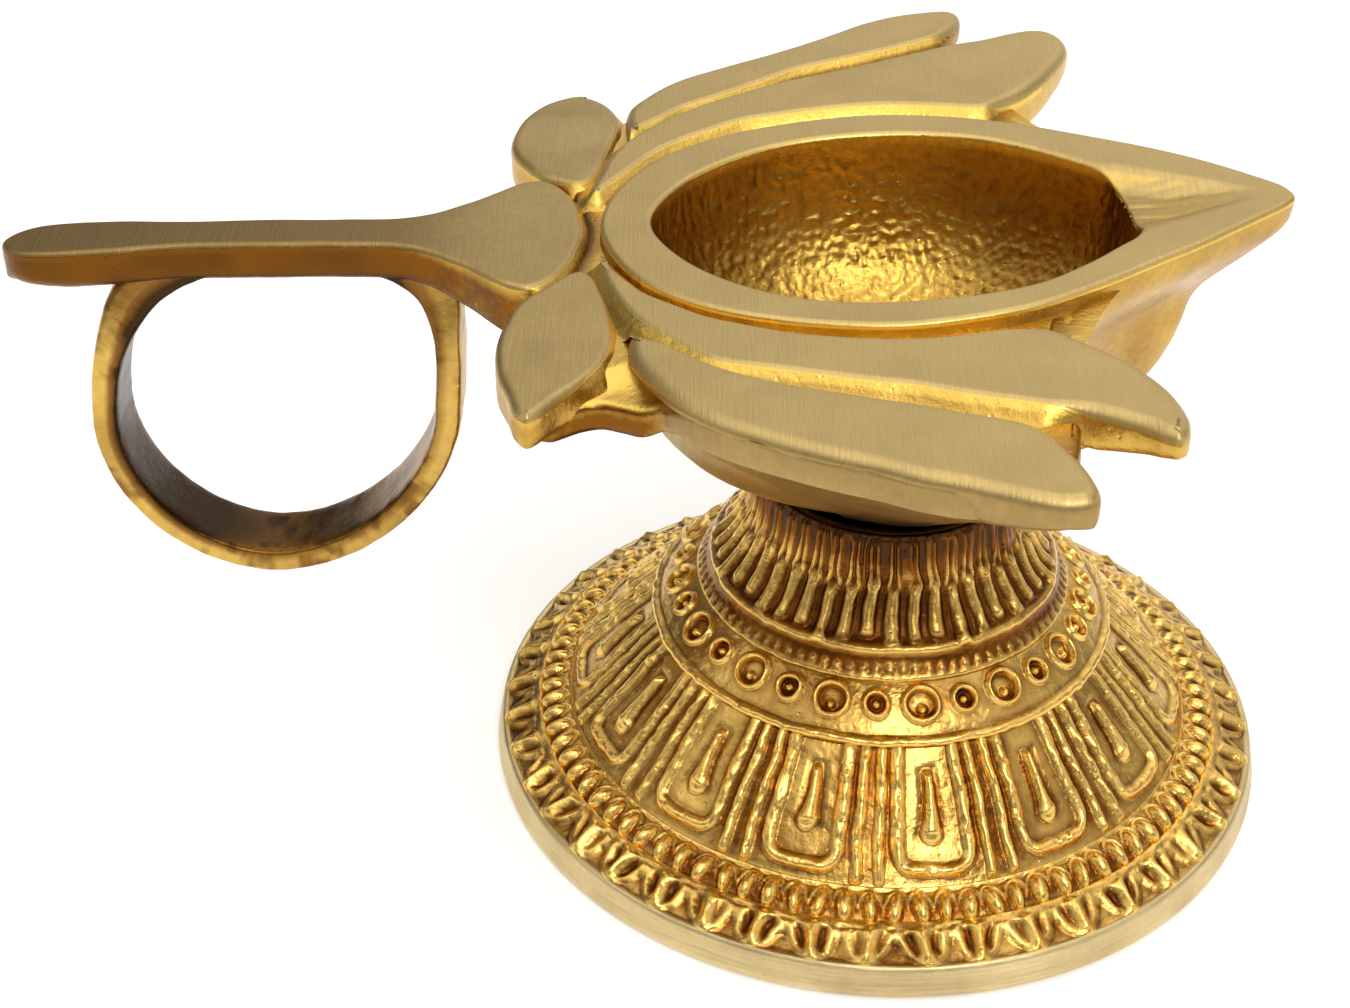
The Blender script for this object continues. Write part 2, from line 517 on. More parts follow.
def handle():
    """One edge through its points (reach behind the axis, half width), mirrored to the other side."""
    edge = np.array(HANDLE_EDGE) * [-1, 1]
    left, right = edges(edge, edge * [1, -1], 420)
    reach = -left[:, 0]
    depth = FAN_DEPTH + (BAR_DEPTH - FAN_DEPTH) * ease(reach, FAN_EDGE, FAN_ROOT)
    depth = depth - 0.4 * ease(reach, TAIL_REACH - 6, TAIL_REACH)
    along = np.clip((reach - FAN_ROOT) / (TAIL_REACH - FAN_ROOT), 0, 1)
    free = ease(reach, FAN_EDGE - 0.8, FAN_EDGE + 0.8)
    grid, ground = plate(left, right, depth, free, free, HANDLE_TOP - along ** 2.5, seed=41, shoulder=0.4)
    worn = ease(np.broadcast_to(reach[:, None], ground.shape), 30, 42)
    hollow = np.where(below_top(grid, 0.45), 0.9 + 0.25 * worn + 0.1 * noise(grid, 2.5, 43),
                      0.52 + 0.5 * worn)
    return new_piece("handle", grid, "brushed_brass", {"ground": ground, "hollow": hollow})


handle()

# %% [markdown]
# ## The finger ring
# The ring hangs from the bar and was never ground, only tumbled. It is a flat band bent to an oval: the
# inner and outer ovals lean and are squarer at the top, where the ring runs into the bar.

# %% The finger ring
RING_REACH = 49.1
RING_HALF_LENGTH = 12.5
RING_HALF_HEIGHT = 12.7
RING_WALL = 2.15
RING_CENTRE = HANDLE_TOP - 2.5 - RING_HALF_HEIGHT


def full_turn(count):
    """Angles at even steps round a full turn."""
    return np.linspace(0, 2 * math.pi, count, endpoint=False)


def ring_oval(wall, angle):
    """The oval at a wall's distance outside the opening: cosine and sine raised to 0.71 above, to square
    it, and to 1.08 below. It is pushed along by the sine for the lean, and its outside flares above."""
    c, s = np.cos(angle), np.sin(angle)
    power = np.where(s > 0, 0.71 - 0.13 * (c < 0) * wall / RING_WALL * ease(s, 0, 0.5), 1.08)
    rise = np.where(s > 0, np.minimum(wall, 1.7), wall)
    lean = np.where(s > 0, 2.6, 1.3) * s
    flare = np.where(c > 0, 2.6, 1.6) * wall / RING_WALL * ease(s, 0.3, 0.95)
    x = -RING_REACH + lean + (RING_HALF_LENGTH + wall + flare) * np.sign(c) * np.abs(c) ** power
    z = RING_CENTRE + (RING_HALF_HEIGHT + rise) * np.sign(s) * np.abs(s) ** power
    return np.stack([x, z], axis=-1)


def finger_ring():
    """The band's section is a superellipse of power 0.3, narrower above, so that the bar covers it."""
    angle, turn = full_turn(360), full_turn(48)
    out, side = (np.sign(f(turn)) * np.abs(f(turn)) ** 0.3 for f in (np.cos, np.sin))
    half = 3.1 - 1.2 * ease(np.sin(angle), 0.25, 0.8)
    plan = ring_oval(RING_WALL / 2 * (1 + out)[:, None], angle[None, :])
    grid = np.stack([plan[..., 0], side[:, None] * half, plan[..., 1]], axis=-1)
    grid = grid + normals(grid) * (rough(grid, 1.6, 7) * 0.07)[..., None]
    inner = np.clip(-out, 0, 1)[:, None]
    left = ease(-np.cos(angle), -0.2, 0.8)
    stain = 0.35 * ease(rough(grid, 1.5, 8), 0.1, 0.5) + 0.2 * noise(grid, 4.0, 9)
    hollow = 0.52 + inner * (0.5 + 0.7 * left) + 0.35 * ease(np.sin(angle), 0.2, 0.8) + stain
    return new_piece("finger_ring", grid, "brushed_brass",
                     {"ground": np.full(grid.shape[:2], 0.35), "hollow": hollow}, closed_rows=True)


finger_ring()

# %% [markdown]
# ## The web under the petals
# The petals stand on a plate that is also the floor of the grooves. Its edge shows as a wall beside the
# lobes. Below it the metal draws in behind and runs down to the round seat. Its section is a closed loop
# round the bowl's wall, so it never shows inside. A boolean of plate and bowl would leave a hard seam.

# %% The web's outline
WEB_REAR = [(-24.4, 0), (-25.4, 6), (-26.8, 12), (-27.8, 17), (-28, 21), (-27.4, 23.9), (-26.3, 24.5),
            (-25.3, 24), (-24.2, 23.4), (-22.8, 23.1), (-21.6, 23.6), (-20.3, 24.3)]
WEB_FRONT = [(6.3, 36.4), (8, 33.8), (8.8, 30), (9.2, 25), (8.8, 19.5), (10.5, 14), (16, 7.6), (19, 2.6)]


def web_edge(pair):
    """Half the web's outline: behind by its own points, then just outside the outer petal's edge, so that
    petal and hull are one surface, and tucked under the petal's tip before it turns in to the spout."""
    outer = edges(*pair)[1]
    outer = outer[(outer[:, 0] > -18.6) & (outer[:, 0] < 4.2)][::6]
    along = np.gradient(outer, axis=0)
    normal = unit(np.stack([-along[:, 1], along[:, 0]], axis=1))
    under = outer + normal * (0.05 - 1.45 * ease(outer[:, :1], -0.5, 4.2))
    return np.concatenate([WEB_REAR, under, WEB_FRONT])


# %% The web and the hull
WEB_CORNER = 0.7                # radius of the plate's upper edge
WEB_WALL = 1.2                  # height of its wall under that
HULL_REACH = 27.3               # of the hull from the axis, where it draws in behind


def web_rows(outline, rear):
    """The rows out over the grooves' floor, round the plate's edge, in under it, down the hull to the seat
    and up again inside the bowl's wall."""
    x, aside = outline[:, 0], np.abs(outline[:, 1])
    heading = x / np.linalg.norm(outline, axis=1)
    normal = outward(outline)
    petal_side = ease(x, -20, -16) * (1 - ease(x, 1, 5)) * ease(aside, 22, 26)
    share = np.linspace(0, 1, 24)[:, None, None]
    out = share[..., 0]
    depth = GROOVE_DEPTH + 0.9 * rear * ease(out, 0.6, 1) - 0.9 * petal_side * ease(out, 0.8, 1)
    inner = bowl_outline - outward(bowl_outline) * 1.5
    floor = stack(inner * (1 - share) + (outline - normal * WEB_CORNER) * share, -depth)
    turn = quarter_turn(6)[1:]
    corner = stack(outline - normal * WEB_CORNER * (1 - np.sin(turn)),
                   -depth[-1] - WEB_CORNER * (1 - np.cos(turn[..., 0])))
    top = -depth[-1] - WEB_CORNER
    high = top - WEB_WALL - 0.25 * rear
    wall = stack(outline, top + (high - top) * np.array([[0.33], [0.67], [1]]))
    drawn = (1 - np.minimum(1, HULL_REACH / np.linalg.norm(outline, axis=1))) * ease(-heading, 0.5, 0.66)
    root = outline * (1 - drawn)[:, None]
    turn_in = np.linspace(0, 1, 7)[1:-1, None, None]
    under = stack(outline * (1 - turn_in) + root * turn_in, high - 0.5 * turn_in[..., 0])
    low = SEAT - RIM_HEIGHT - 1
    level = np.linspace(1, 0, 60)[:, None]
    full = 0.92 + 0.15 * ease(-heading, 0.3, 0.6) - 0.3 * ease(-heading, 0.8, 0.98)
    share = (1 - (1 - level) ** full)[..., None]
    hull = stack(unit(outline) * SEAT_RADIUS * 0.9 * (1 - share) + root * share,
                 low + (high - 0.5 - low) * level)
    depth = np.linspace(-low, 2.2, 12)
    behind = stack(bowl_wall(depth, 0.985), -depth[:, None])
    return floor, np.concatenate([corner, wall, under, hull, behind])


def web():
    """The skin of those rows: as cast in the grooves and behind, and ground below the petals."""
    near, far = web_edge(RIGHT_OUTER_PETAL) * [1, -1], web_edge(LEFT_OUTER_PETAL)
    outline = smooth_curve(np.concatenate([near, [(19.6, 0)], far[:0:-1]]), AROUND, closed=True)
    rear = ease(-outline[:, 0], 17, 20.5) * ease(np.abs(outline[:, 1]), 9, 16)
    floor, below = web_rows(outline, rear)
    grid = np.concatenate([floor, below])
    rows = np.arange(len(grid))[:, None] - len(floor)
    grid = grid + normals(grid) * (rough(grid, 2.0, 9) * np.where(rows < 5, 0.09, 0.03))[..., None]
    down = -grid[..., 2]
    hollow = 0.72 + 0.14 * noise(grid, 3.5, 23) + 0.5 * ease(down, 17, 21) + 0.12 * (1 - ease(down, 1.5, 4))
    hollow = np.where(rows < 2, 0.25 + 0.5 * ease(rows / len(floor), -0.5, 0) * (1 - rear), hollow)
    hollow = hollow + 0.18 * rear * (rows > 4) * (down < 8)
    ground = 0.75 * (rows >= 3) * (1 - rear * (down < 7))
    grid = risen(grid)
    grid[..., 2] = np.maximum(grid[..., 2], SEAT)
    return new_piece("petal_web", grid, "brushed_brass", {"ground": ground, "hollow": hollow},
                     closed_rows=True)


web()

# %% [markdown]
# ## The foot's core
# The foot is a shell of revolution with a bore in its thick top. The core carries the plain inside and
# the land it stands on, and the ornament lies round it in bands, each a closed skin of its own. One
# single mesh would be too heavy, and the joints between bands are hidden in the turned creases.

# %% The foot's core
def round_axis(radius, angle, height):
    """Points at a radius and an angle round the foot's axis, at a height."""
    return np.stack(np.broadcast_arrays(radius * np.cos(angle), radius * np.sin(angle), height), axis=-1)


def revolve(profile, columns):
    """Points (radius, height) of a closed profile, turned round the foot's axis."""
    radius, height = np.asarray(profile, float).T[..., None]
    return round_axis(radius, full_turn(columns), height)


def dense(profile, spacing):
    """The same closed profile with more points on its long sides."""
    profile = np.asarray(profile, float)
    out = []
    for start, end in zip(profile, np.roll(profile, -1, axis=0)):
        steps = max(1, int(round(np.linalg.norm(end - start) / spacing)))
        out.append(start + (end - start) * np.linspace(0, 1, steps, endpoint=False)[:, None])
    return np.concatenate(out)


def foot_core():
    """A closed profile, up the inside to the bore and down the outside to the land, turned once round."""
    inside = [(FOOT_RADIUS - 2.6, 0.12), (FOOT_RADIUS - 2.6, 1.1), (25.6, 3.1), (16.95, 11.3), (12.6, 15.9),
              (9.3, 19.8), (8.2, 23.4), (7.8, 23.9), (BORE_RADIUS + 0.25, 23.9), (BORE_RADIUS, 24.15)]
    outside = [(BORE_RADIUS, FOOT_TOP - 0.3), (BORE_RADIUS + 0.3, FOOT_TOP), (10.2, FOOT_TOP),
               (10.3, FOOT_TOP - 0.2), (10.2, 24.6), (11, 21.5), (13.4, 19), (14.3, 16.3), (17.4, 13.2),
               (24.8, 5), (29, 3.2), (32, 2), (FOOT_RADIUS - 0.5, 0.5), (FOOT_RADIUS - 0.6, 0),
               (FOOT_RADIUS - 2.5, 0)]
    grid = revolve(dense(inside + outside, 0.5), 360)
    grid = grid + normals(grid) * (rough(grid, 2.0, 13) * 0.05 * ease(grid[..., 2], 0.2, 1))[..., None]
    grid[..., 2] = np.minimum(grid[..., 2], FOOT_TOP)
    return new_piece("foot_core", grid, "cast_brass",
                     {"ground": np.zeros(grid.shape[:2]), "hollow": 0.5 + ease(grid[..., 2], 26, 27)},
                     closed_rows=True, stands_for=["foot"])


BORE_RADIUS = 3.3               # clears the stud, in the foot, the washer and the nut
foot_core()

# %% [markdown]
# ## Ornament of the foot
# Each band is a height above a turned profile, written as a function of the angle and of the distance
# up the band. Distances are measured in millimetres on the metal, so a line keeps its width where the
# cone narrows. The tool was guided by hand, so angle and distance are first bent a little by noise.

# %% Bands of ornament
def bump(distance, half, power=1.5):
    """A round ridge: 1 at distance 0, falling as (1 - t^2)^power to 0 at half. A lower power makes it
    fuller, with steeper sides."""
    return np.clip(1 - (distance / half) ** 2, 0, 1) ** power


def soften(height, rows, columns):
    """The mean of the heights in a window round each point."""
    for axis, reach in ((0, rows), (1, columns)):
        height = sum(np.roll(height, k, axis=axis) for k in range(-reach, reach + 1)) / (2 * reach + 1)
    return height


def repeated(angle, count, offset=0.0):
    """The angle from the middle of the nearest copy, and that copy's number."""
    pitch = 2 * math.pi / count
    number = np.round((angle - offset) / pitch)
    return angle - offset - number * pitch, number.astype(int) % count


def flat_noise(along, up, seed):
    """The soft noise over two coordinates, in cells of 1."""
    return noise(np.stack(np.broadcast_arrays(along, up, 0.0), axis=-1), 1.0, seed)


def foot_band(name, profile, relief, rows, columns=1440, ground=0.0, skin=0.05, hand=0.12, melt=None,
              patina=0.0):
    """A closed band round the foot. The profile runs from its lower edge to its upper one, and relief
    gives the height above it from the angle, the distance along the profile and the radius. hand is how
    far the tool strayed, melt softens the relief, and patina darkens the band."""
    line = smooth_curve(profile, rows)
    along = np.gradient(line, axis=0)
    normal = unit(np.stack([along[:, 1], -along[:, 0]], axis=1))
    distance = np.concatenate([[0], np.cumsum(np.linalg.norm(np.diff(line, axis=0), axis=1))])[:, None]
    smooth = revolve(line, columns)
    angle = np.broadcast_to(full_turn(columns), (rows, columns))
    radius = np.broadcast_to(line[:, :1], (rows, columns))
    strayed = angle + hand * rough(smooth, 2.6, 51) / radius
    height = relief(strayed, distance + hand * rough(smooth, 2.1, 71), radius)
    if melt:
        height = soften(height, *melt)
    height = height + skin * rough(smooth, 0.9, 81)
    height = height * np.minimum(ease(distance, 0, 0.35), ease(distance[-1] - distance, 0, 0.35))
    lift = line[:, None] + normal[:, None] * height[..., None]
    every = max(1, rows // 4)
    back = line[::every][::-1] - normal[::every][::-1]
    grid = np.concatenate([round_axis(lift[..., 0], angle, lift[..., 1]), revolve(back, columns)])
    patina = patina * (1 + 1.6 * ease(line[:, 1:], 23.5, 26.5))
    sunk = soften(height, 5, 9) - height
    hollow = np.clip(0.42 + patina + 2.3 * sunk + 0.2 * noise(smooth, 4.0, 61), 0, 1.4)
    hollow = np.concatenate([hollow, np.full((len(back), columns), 0.5)])
    return new_piece(name, grid, "cast_brass",
                     {"ground": np.full(grid.shape[:2], ground), "hollow": hollow}, closed_rows=True)


# %% The turned rim
def rim_relief(angle, distance, radius):
    """Faint turned lines, a little uneven round the rim."""
    return 0.012 * np.sin(distance * 14 + 2 * flat_noise(angle * 9, distance, 5))


foot_band("rim_band", [(FOOT_RADIUS - 0.55, 0.02), (FOOT_RADIUS - 0.12, 0.25), (FOOT_RADIUS - 0.02, 0.6),
                       (FOOT_RADIUS - 0.25, 1.6), (32.55, 2.7), (32.3, 2.9), (31.9, 2.8)],
          rim_relief, 26, 1080, ground=1.0, skin=0.012, hand=0.0)

# %% The leaf border
LEAVES = 45
LEAF_OFFSET = math.radians(9)
LEAF_END = 3.0                  # where the leaves give way to a plain band


def leaf_relief(angle, distance, radius):
    """Lotus leaves that point outwards: each is a dome inside a pointed arch, with an almond hollow on
    each side of its mid-rib, and a small bud fills the space between two leaves."""
    local, number = repeated(angle, LEAVES, LEAF_OFFSET)
    pitch = 2 * math.pi / LEAVES * radius
    sway = 0.18 * np.sin(number * 2.7)
    across = np.abs(local * radius + sway * (distance - 2))
    half = 2.0 * np.clip((distance + 0.15) / 2.3, 0.001, 1) ** 0.55
    dome = np.clip(1 - (across / half) ** 2, 0, 1) ** 0.6 * ease(distance, -0.3, 1.1)
    lean = 0.5 + 0.16 * distance
    deep = 0.62 + 0.18 * np.sin(number * 1.9)
    almond = bump(np.hypot((across - lean) / 0.52, (distance - 1.85) / 1.35), 1.0, 0.9)
    rib = bump(across, 0.34, 1.0) * ease(distance, 0.3, 1.0)
    bud = bump(np.hypot((across - pitch / 2) / 0.7, (distance - 2.9) / 1.0), 1.0)
    leaf = 0.72 * dome - deep * almond + 0.16 * rib + 0.4 * bud - 0.3 * ease(distance, 0, 0.8)
    grain = 0.5 + 0.12 * flat_noise(angle * 60, distance * 2, 3)
    band = ease(distance, LEAF_END + 0.1, LEAF_END + 0.5) * grain
    return leaf * (1 - ease(distance, LEAF_END, LEAF_END + 0.5)) + 0.5 * band


foot_band("leaf_border", [(32.4, 2.6), (32.1, 2.95), (31.4, 3.35), (30.4, 3.75), (29.4, 4.1), (28.8, 4.2)],
          leaf_relief, 54, hand=0.3, melt=(1, 2), patina=0.06)

# %% The ring of upright beads
BEADS = 90


def bead_relief(angle, distance, radius):
    """Upright ovals side by side, each under an arched line."""
    local, number = repeated(angle, BEADS, LEAF_OFFSET)
    lean = 0.14 * np.sin(number * 2.3)
    across = local * radius + lean * (distance - 1.6)
    size = 1 + 0.12 * np.sin(number * 4.1)
    bead = bump(np.hypot(across / (0.62 * size), (distance - 1.55) / 1.45), 1.0, 0.75)
    arch = bump(np.hypot(across / 0.9, (distance - 1.5) / 1.75) - 1, 0.2, 1.0) * ease(distance, 1.0, 2.0)
    edge = bump(distance - 0.12, 0.35)
    return 0.72 * bead + 0.16 * arch + 0.3 * edge - 0.34


foot_band("bead_ring", [(29.4, 3.95), (28.9, 4.6), (28.1, 5.15), (27.1, 5.5), (26.4, 5.45)],
          bead_relief, 52, hand=0.16, patina=-0.13)

# %% The framed panels
PANELS = 15
PANEL_OFFSET = math.radians(-41.7 - 90)


def panel_relief(angle, distance, radius):
    """U-shaped frames, open above, with a drop hanging in each and two straight ribs between them."""
    pitch = 2 * math.pi / PANELS
    local, number = repeated(angle, PANELS, PANEL_OFFSET)
    across = np.abs(local) * radius
    half = 0.272 * pitch * radius
    corner = 1.2
    low = 1.35 + 0.3 * (across / half) ** 2
    q = np.stack([across - half + corner, low + corner - distance], axis=-1)
    frame_line = np.linalg.norm(np.maximum(q, 0), axis=-1) + np.minimum(q.max(axis=-1), 0) - corner
    along = np.stack([across * 1.5, distance + 0 * across, number * 7.0 + (local > 0)], axis=-1)
    grain = 0.85 + 0.28 * noise(along, 0.7, 5)
    frames = bump(frame_line, 0.58, 0.9)
    rib = bump((np.abs(local) - 0.415 * pitch) * radius, 0.46, 0.9) * ease(distance, 0.1, 0.7)
    tip = 4.3 + 0.4 * np.sin(number * 1.7)
    up = np.clip(distance - tip, 0, 9)
    swell = 0.36 + 0.58 * np.exp(-up / 1.5)
    drop = bump(across, swell, 0.7) * ease(distance, tip - 0.1, tip + 0.2) * ease(9.3 - distance, 0, 0.8)
    ball = bump(np.hypot(across, distance - tip), 0.92, 0.7)
    channel = bump(across, swell + 0.55, 0.8) * ease(distance, tip - 1.2, tip - 0.2)
    channel = channel * ease(9.8 - distance, 0, 0.8)
    return (0.5 * np.maximum(frames, rib) * grain + 0.52 * np.maximum(drop, 1.15 * ball)
            - 0.16 * channel * (1 - drop) - 0.05)


foot_band("panels", [(26.5, 5.35), (25.9, 6.1), (24, 8.05), (22.4, 9.85), (20.4, 11.95), (19.1, 13.3),
                     (18.7, 13.6)], panel_relief, 76, columns=1200, hand=0.2)

# %% The ridge and the cove with its circles
CIRCLES = 30


def cove_relief(angle, distance, radius):
    """Discs and rings by turns, each with a dot in it, over one turned ridge with a grained crest."""
    local, number = repeated(angle, CIRCLES, PANEL_OFFSET)
    across = local * radius
    large = (number % 2 == 0)
    from_middle = np.hypot(across, distance - 3.5)
    size = np.where(large, 1.3, 0.92)
    ring = bump(from_middle - size, 0.34)
    disc = np.where(large, -0.22, -0.3) * ease(size - from_middle, 0, 0.3)
    dot = bump(np.hypot(across, distance - np.where(large, 3.05, 3.45)), 0.5)
    grain = 0.8 + 0.3 * flat_noise(angle * 26, distance, 33)
    ridge = bump(distance - 0.55, 0.55) * grain
    return 0.42 * ring + disc + 0.5 * dot + 0.5 * ridge


foot_band("cove", [(19.1, 13.3), (19.05, 13.8), (18.5, 14.5), (17.5, 15.45), (16.3, 16.5), (15.4, 17.1),
                   (15, 17.2)], cove_relief, 54)

# %% The neck: a moulding with small beads, long tongues and an upper row of arches
TONGUES = 45


def neck_relief(angle, distance, radius):
    """A bead line at the foot of the neck, then long tongues, and a row of slim arches above them."""
    local, number = repeated(angle, TONGUES, PANEL_OFFSET)
    across = local * radius
    pitch = 2 * math.pi / TONGUES * radius
    line = bump(distance - 0.3, 0.3)
    beads = bump(np.hypot(repeated(angle, 90)[0] * radius, (distance - 1.0)), 0.42)
    base = bump(distance - 2.6, 0.3)
    uneven = 0.35 * np.sin(number * 2.1) + 0.2 * np.sin(number * 5.3)
    tongue = bump(across, 0.36 * pitch) ** 0.6 * ease(distance, 3.0 + uneven, 3.5 + uneven)
    tongue = tongue * (1 - ease(distance, 7.0 + uneven, 8.2 + uneven))
    wide = repeated(angle, TONGUES, PANEL_OFFSET + math.pi / TONGUES)[0]
    arch = np.abs(wide) * radius - 0.34 * pitch * np.sqrt(np.clip((distance - 7.2) / 1.5, 0, 1))
    arches = bump(arch, 0.24) * ease(distance, 7.2, 7.9) * (1 - ease(distance, 11.2, 12.2))
    strand = np.abs(flat_noise(angle * 16, distance * 0.12, 37))
    arches = np.maximum(arches, 1.1 * bump(strand, 0.22) * ease(distance, 7.6, 8.6))
    lines = 0.4 * line + 0.2 * beads + 0.36 * base
    return lines + 0.5 * tongue + 0.26 * arches - 0.2 * ease(distance, 3, 3.4)


foot_band("neck", [(15.5, 16.9), (15.3, 17.5), (14.7, 18.4), (14.2, 19.4), (12.9, 20.9), (11.8, 22.8),
                   (11.1, 25), (10.8, 27.2), (10.5, 27.6)],
          neck_relief, 64, columns=1200, hand=0.3, melt=(1, 1), patina=0.35)

# %% [markdown]
# ## Fixings
# Only someone who turns the lamp over sees these: a stud with its thread, a washer and a nut. The thread
# is a wave along the stud that moves on by one pitch a turn, which is a helix without any path to sweep.

# %% The stud, the washer and the nut
THREAD_PITCH = 1.0
THREAD_DEPTH = 0.55


def fixing_box(node):
    """A round node's radius, its lowest height and its highest, from the frame."""
    low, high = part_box(node)
    return (high.x - low.x) / 2 / MM, low.z / MM, high.z / MM


def stud():
    """A radius that dips by a triangle wave, which climbs one pitch a turn, and chamfers at both ends."""
    radius, low, high = fixing_box("fixing_stud")
    angle = full_turn(48)
    height = np.linspace(low, high, 230)[:, None]
    turns = (height - low) / THREAD_PITCH - angle / (2 * math.pi)
    wave = np.abs((turns % 1.0) - 0.5) * 2
    chamfer = 0.6 * np.clip(1 - np.minimum(height - low, high - height) / 0.6, 0, 1)
    grid = round_axis(radius - THREAD_DEPTH * np.clip(wave * 1.15, 0, 1) - chamfer, angle, height)
    grid = np.concatenate([grid[:1] * [0, 0, 1], grid, grid[-1:] * [0, 0, 1]])
    return new_piece("threaded_stud", grid, "fixings", stands_for=["fixing_stud"])


def washer():
    """A closed profile with small chamfers, turned once round."""
    radius, low, high = fixing_box("washer")
    bore = BORE_RADIUS
    profile = [(bore, low + 0.1), (bore + 0.1, low), (radius - 0.1, low), (radius, low + 0.1),
               (radius, high - 0.15), (radius - 0.15, high), (bore + 0.1, high), (bore, high - 0.1)]
    return new_piece("plain_washer", revolve(dense(profile, 0.6), 96), "fixings", closed_rows=True,
                     stands_for=["washer"])


def nut():
    """A hexagon's radius at each angle, cut back by a cone at both ends for the chamfered corners."""
    corner, low, high = fixing_box("hex_nut")
    angle = full_turn(120)
    flats = corner * math.cos(math.pi / 6)
    hexagon = flats / np.cos((angle + math.pi / 6) % (math.pi / 3) - math.pi / 6)
    height = np.linspace(low, high, 25)[:, None]
    end = np.minimum(height - low, high - height)
    outer = np.minimum(np.minimum(hexagon, corner * 0.985), flats * 0.97 + 1.7 * end)
    hole = np.broadcast_to(BORE_RADIUS + 0.35 * np.clip(1 - end / 0.4, 0, 1), outer.shape)
    grid = np.concatenate([round_axis(outer, angle, height), round_axis(hole, angle, height[::-1])])
    return new_piece("chamfered_nut", grid, "fixings", closed_rows=True, stands_for=["hex_nut"])


for fixing in (stud, washer, nut):
    fixing()

# %% [markdown]
# ## Brass
# The whole lamp is one metal in two states. Where it was ground it is pale and silky, with fine lines
# from the belt. Where it is as cast it is deep gold and shiny, and darker in the hollows, because there
# the metal mirrors itself and old oil stays. Two vertex values drive this: `ground` and `hollow`.

# %% Small helpers for node trees
def add(tree, kind, inputs=None, **settings):
    """A new node. Each input is a socket to link from, or a value to set."""
    made = tree.nodes.new(kind)
    for key, value in settings.items():
        setattr(made, key, value)
    for key, value in (inputs or {}).items():
        if isinstance(value, bpy.types.NodeSocket):
            tree.links.new(value, made.inputs[key])
        else:
            made.inputs[key].default_value = value
    return made


def calculate(tree, operation, a, b):
    """A math node's result, from two sockets or numbers."""
    return add(tree, "ShaderNodeMath", {0: a, 1: b}, operation=operation).outputs[0]


def plus(tree, a, b):
    """The sum a + b."""
    return calculate(tree, "ADD", a, b)


def times(tree, a, b):
    """The product a * b."""
    return calculate(tree, "MULTIPLY", a, b)


def remap(tree, value, low, high, to_low=0.0, to_high=1.0, kind="LINEAR"):
    """A value taken from one range to another, and held at its ends."""
    given = {"Value": value, "From Min": low, "From Max": high, "To Min": to_low, "To Max": to_high}
    return add(tree, "ShaderNodeMapRange", given, interpolation_type=kind).outputs[0]


def mix_colour(tree, factor, a, b):
    """A colour between two, each a socket or three numbers."""
    a, b = (v if isinstance(v, bpy.types.NodeSocket) else (*v, 1) for v in (a, b))
    return add(tree, "ShaderNodeMix", {"Factor": factor, 6: a, 7: b}, data_type="RGBA").outputs[2]


def new_material(name):
    """A material with nodes, its tree and its shader."""
    material = bpy.data.materials.new(name)
    material.use_nodes = True
    return material, material.node_tree, material.node_tree.nodes["Principled BSDF"]


def new_group(name, inputs, outputs):
    """A node group with named inputs (name, kind of socket, value) and outputs that are plain values."""
    tree = bpy.data.node_groups.new(name, "ShaderNodeTree")
    for key, kind, value in inputs:
        socket = tree.interface.new_socket(key, in_out="INPUT", socket_type=kind)
        if value is not None:
            socket.default_value = value
    for key in outputs:
        tree.interface.new_socket(key, in_out="OUTPUT", socket_type="NodeSocketFloat")
    return tree, tree.nodes.new("NodeGroupInput").outputs, tree.nodes.new("NodeGroupOutput").inputs


# %% The casting's skin: fine pits and swells, and slow mottling
skin_tree, given, result = new_group(
    "Casting skin", [("Vector", "NodeSocketVector", None), ("Scale", "NodeSocketFloat", 1.0)],
    ["Height", "Mottle"])
fine, pits, slow = (
    add(skin_tree, kind, {"Vector": given["Vector"],
                          "Scale": times(skin_tree, given["Scale"], scale), **more})
    for kind, scale, more in (
        ("ShaderNodeTexNoise", 1400, {"Detail": 6.0, "Roughness": 0.62}),
        ("ShaderNodeTexVoronoi", 900, {}),
        ("ShaderNodeTexNoise", 160, {"Detail": 3.0})))
pit = remap(skin_tree, pits.outputs["Distance"], 0.0, 0.16, -0.5, 0.0)
skin_tree.links.new(plus(skin_tree, fine.outputs["Fac"], pit), result["Height"])
skin_tree.links.new(remap(skin_tree, slow.outputs["Fac"], 0.3, 0.7), result["Mottle"])

# %% Lines left by the grinding belt: noise squeezed along one direction
line_tree, given, result = new_group(
    "Ground lines", [("Vector", "NodeSocketVector", None), ("Spacing", "NodeSocketVector", (1, 1, 1))],
    ["Lines"])
squeezed = add(line_tree, "ShaderNodeVectorMath", {0: given["Vector"], 1: given["Spacing"]},
               operation="MULTIPLY")
lines = add(line_tree, "ShaderNodeTexNoise", {"Vector": squeezed.outputs[0], "Scale": 1.0, "Detail": 4.0,
                                              "Roughness": 0.7})
line_tree.links.new(remap(line_tree, lines.outputs["Fac"], 0.25, 0.75), result["Lines"])


